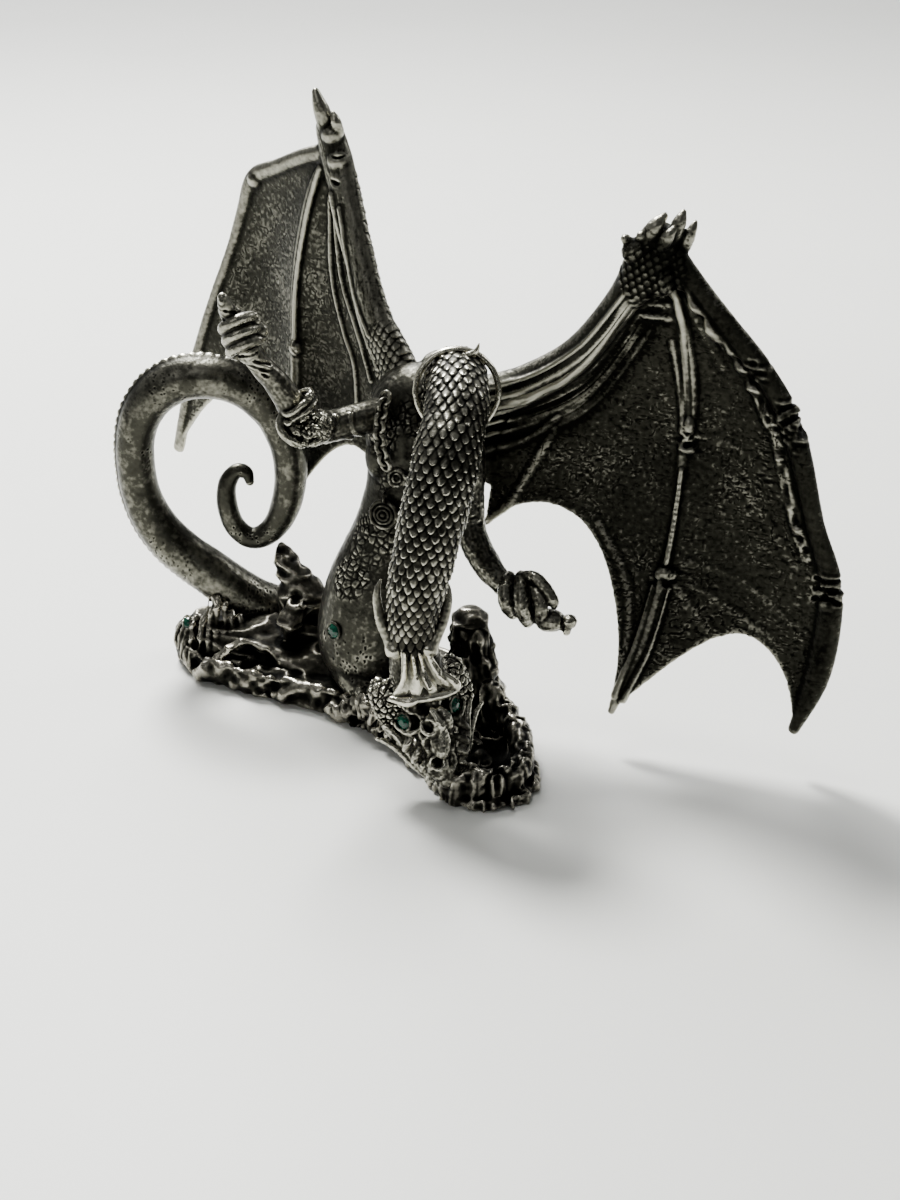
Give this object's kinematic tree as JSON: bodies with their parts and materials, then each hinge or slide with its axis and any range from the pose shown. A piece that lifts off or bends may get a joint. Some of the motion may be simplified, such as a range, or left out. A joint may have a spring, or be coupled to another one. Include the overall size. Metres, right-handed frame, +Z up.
{
  "type": "dragon figurine",
  "caption": "Small cast metal dragon on a rock, leaning down to a rock pool, with spread wings, a coiled tail and dark green stones.",
  "frame": {"origin": "on the flat underside of the rock, below the hips", "axes": "+Z up, +X towards the wing that is spread wide, -Y towards the head and the pool"},
  "size_m": [0.0871, 0.0603, 0.0738],
  "materials": {
    "pewter": "antiqued cast pewter, dark in the recesses and rubbed bright on the high spots",
    "rubbed_pewter": "cast pewter rubbed bright, with dark recesses",
    "green_stone": "faceted dark green glass stone"
  },
  "bodies": {
    "root": {"rock_base": "pewter", "body": "pewter", "neck": "pewter", "head": "pewter", "brow_crest": "rubbed_pewter", "horn_right": "rubbed_pewter", "horn_left": "rubbed_pewter", "eye_right": "green_stone", "eye_left": "green_stone", "tail": "pewter", "wing_right": "pewter", "wing_left": "pewter", "arm_right": "pewter", "arm_left": "pewter", "neck_torc": "rubbed_pewter", "necklace_chain": "rubbed_pewter", "brooch": "rubbed_pewter", "medallion": "rubbed_pewter", "hip_crystal": "green_stone", "base_crystal": "green_stone"}
  },
  "joints": []
}
